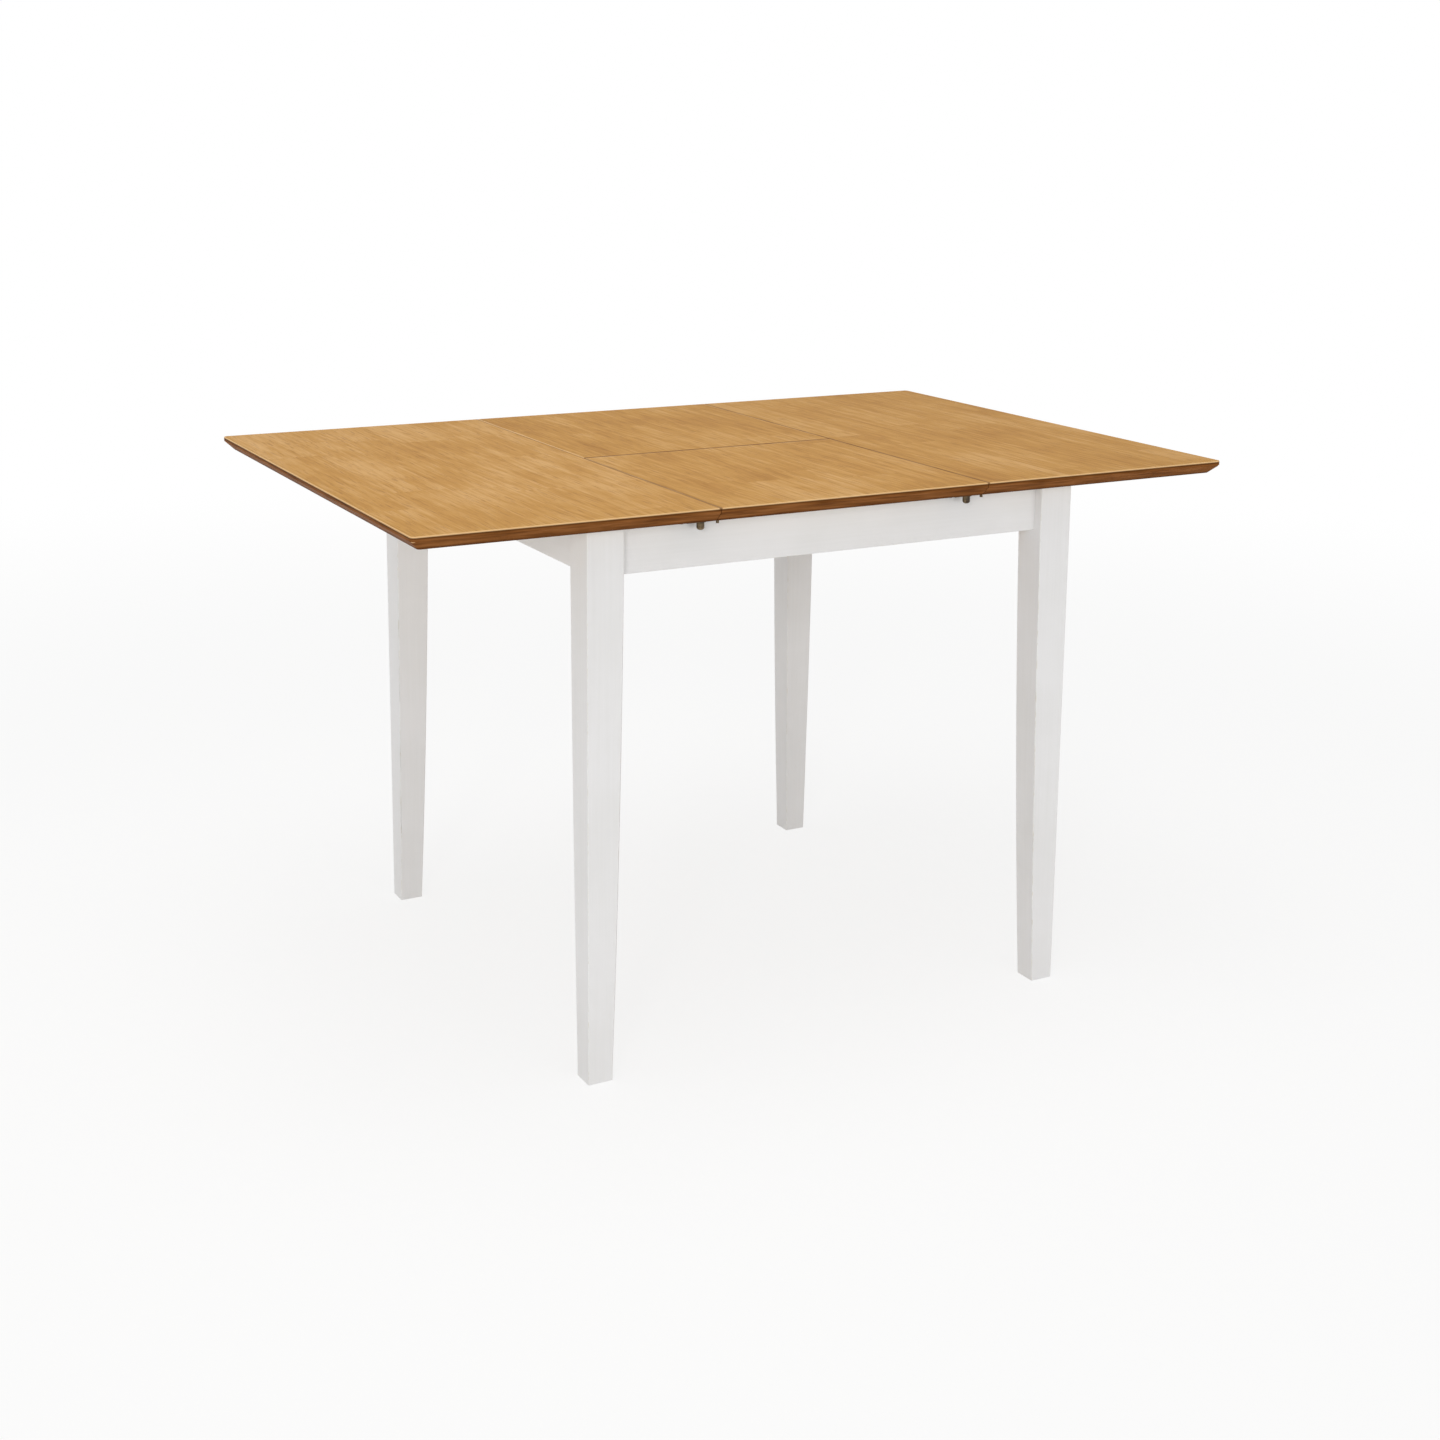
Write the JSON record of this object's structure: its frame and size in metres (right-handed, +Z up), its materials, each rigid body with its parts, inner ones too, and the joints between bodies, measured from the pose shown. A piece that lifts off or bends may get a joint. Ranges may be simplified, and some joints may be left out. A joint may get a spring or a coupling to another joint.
{
  "type": "butterfly leaf dining table",
  "caption": "Extending dining table: stained wood top that parts on runners, folding leaf that stows in the white frame, tapered square legs, turn latches at the seams.",
  "frame": {"origin": "on the floor under the middle of the top", "axes": "+X along the table's length, +Y towards the back, +Z up"},
  "size_m": [1.2, 0.8, 0.74],
  "materials": {
    "white_paint": "satin white paint",
    "stained_wood": "stained and lacquered",
    "plain_wood": "planed, bare",
    "bronze": "dark bronze",
    "brass": "plain",
    "steel": "zinc plated",
    "felt": "felt"
  },
  "bodies": {
    "base": {"leg_front_left": "white_paint", "leg_front_right": "white_paint", "leg_back_right": "white_paint", "leg_back_left": "white_paint", "apron_front": "white_paint", "apron_back": "white_paint", "apron_left": "white_paint", "apron_right": "white_paint", "corner_block_front_left": "plain_wood", "corner_block_front_right": "plain_wood", "corner_block_back_right": "plain_wood", "corner_block_back_left": "plain_wood", "hanger_bolts": "steel", "hanger_washers": "steel", "hanger_nuts": "steel", "block_screws": "steel", "slide_rail_front": "plain_wood", "slide_rail_back": "plain_wood", "bearer_left": "plain_wood", "bearer_right": "plain_wood", "glide_pads": "felt"},
    "rear_arms": {"swing_axle_rear": "steel", "swing_arm_rear_left": "steel", "swing_arm_rear_right": "steel"},
    "front_arms": {"swing_axle_front": "steel", "swing_arm_front_left": "steel", "swing_arm_front_right": "steel"},
    "front_leaf": {"leaf_front": "stained_wood", "leaf_lugs": "steel", "lug_screws": "steel", "lug_pins": "steel", "hinge_barrels_front": "brass", "latch_plate_leaf_front": "bronze", "keeper_leaf_front": "bronze", "latch_screws_leaf_front": "bronze"},
    "back_leaf": {"leaf_back": "stained_wood", "hinge_barrels_back": "brass", "latch_plate_leaf_back": "bronze", "keeper_leaf_back": "bronze", "latch_screws_leaf_back": "bronze"},
    "left_half": {"top_left": "stained_wood", "runner_left_front": "plain_wood", "runner_left_back": "plain_wood", "runner_screws_left": "steel", "stop_pegs_left": "plain_wood", "latch_plate_left": "bronze", "keeper_left": "bronze", "latch_screws_left": "bronze"},
    "right_half": {"top_right": "stained_wood", "runner_right_front": "plain_wood", "runner_right_back": "plain_wood", "runner_screws_right": "steel", "stop_pegs_right": "plain_wood", "latch_plate_right": "bronze", "keeper_right": "bronze", "latch_screws_right": "bronze"},
    "left_latch": {"latch_lever_left": "bronze"},
    "right_latch": {"latch_lever_right": "bronze"},
    "leaf_front_latch": {"latch_lever_leaf_front": "bronze"},
    "leaf_back_latch": {"latch_lever_leaf_back": "bronze"}
  },
  "joints": [
    {"name": "left_slide", "type": "slide", "parent": "base", "child": "left_half", "axis": [-1, 0, 0], "range_m": [0, 0.04]},
    {"name": "right_slide", "type": "slide", "parent": "base", "child": "right_half", "axis": [1, 0, 0], "range_m": [0, 0.04]},
    {"name": "leaf_swing", "type": "hinge", "parent": "base", "child": "rear_arms", "pos_m": [0, -0.0229, 0.6559], "axis": [-1, 0, 0], "range_deg": [0, 142.89]},
    {"name": "leaf_level", "type": "hinge", "parent": "rear_arms", "child": "front_leaf", "pos_m": [0, -0.105, 0.713], "axis": [-1, 0, 0], "range_deg": [-142.89, 0]},
    {"name": "leaf_fold", "type": "hinge", "parent": "front_leaf", "child": "back_leaf", "pos_m": [0, 0, 0.7403], "axis": [1, 0, 0], "range_deg": [0, 180]},
    {"name": "front_arm_swing", "type": "hinge", "parent": "base", "child": "front_arms", "pos_m": [0, -0.14291, 0.6559], "axis": [-1, 0, 0], "range_deg": [0, 142.89]},
    {"name": "left_latch_turn", "type": "hinge", "parent": "left_half", "child": "left_latch", "pos_m": [-0.211, -0.366, 0.717], "axis": [0, 0, 1], "range_deg": [0, 180]},
    {"name": "right_latch_turn", "type": "hinge", "parent": "right_half", "child": "right_latch", "pos_m": [0.211, 0.366, 0.717], "axis": [0, 0, 1], "range_deg": [0, 180]},
    {"name": "leaf_front_latch_turn", "type": "hinge", "parent": "front_leaf", "child": "leaf_front_latch", "pos_m": [0.189, -0.366, 0.717], "axis": [0, 0, 1], "range_deg": [0, 180]},
    {"name": "leaf_back_latch_turn", "type": "hinge", "parent": "back_leaf", "child": "leaf_back_latch", "pos_m": [-0.189, 0.366, 0.717], "axis": [0, 0, 1], "range_deg": [0, 180]}
  ],
  "couplings": [
    {"joint": "leaf_level", "follows": "leaf_swing", "ratio": -1},
    {"joint": "leaf_fold", "follows": "leaf_swing", "ratio": 1.2597},
    {"joint": "front_arm_swing", "follows": "leaf_swing", "ratio": 1}
  ]
}
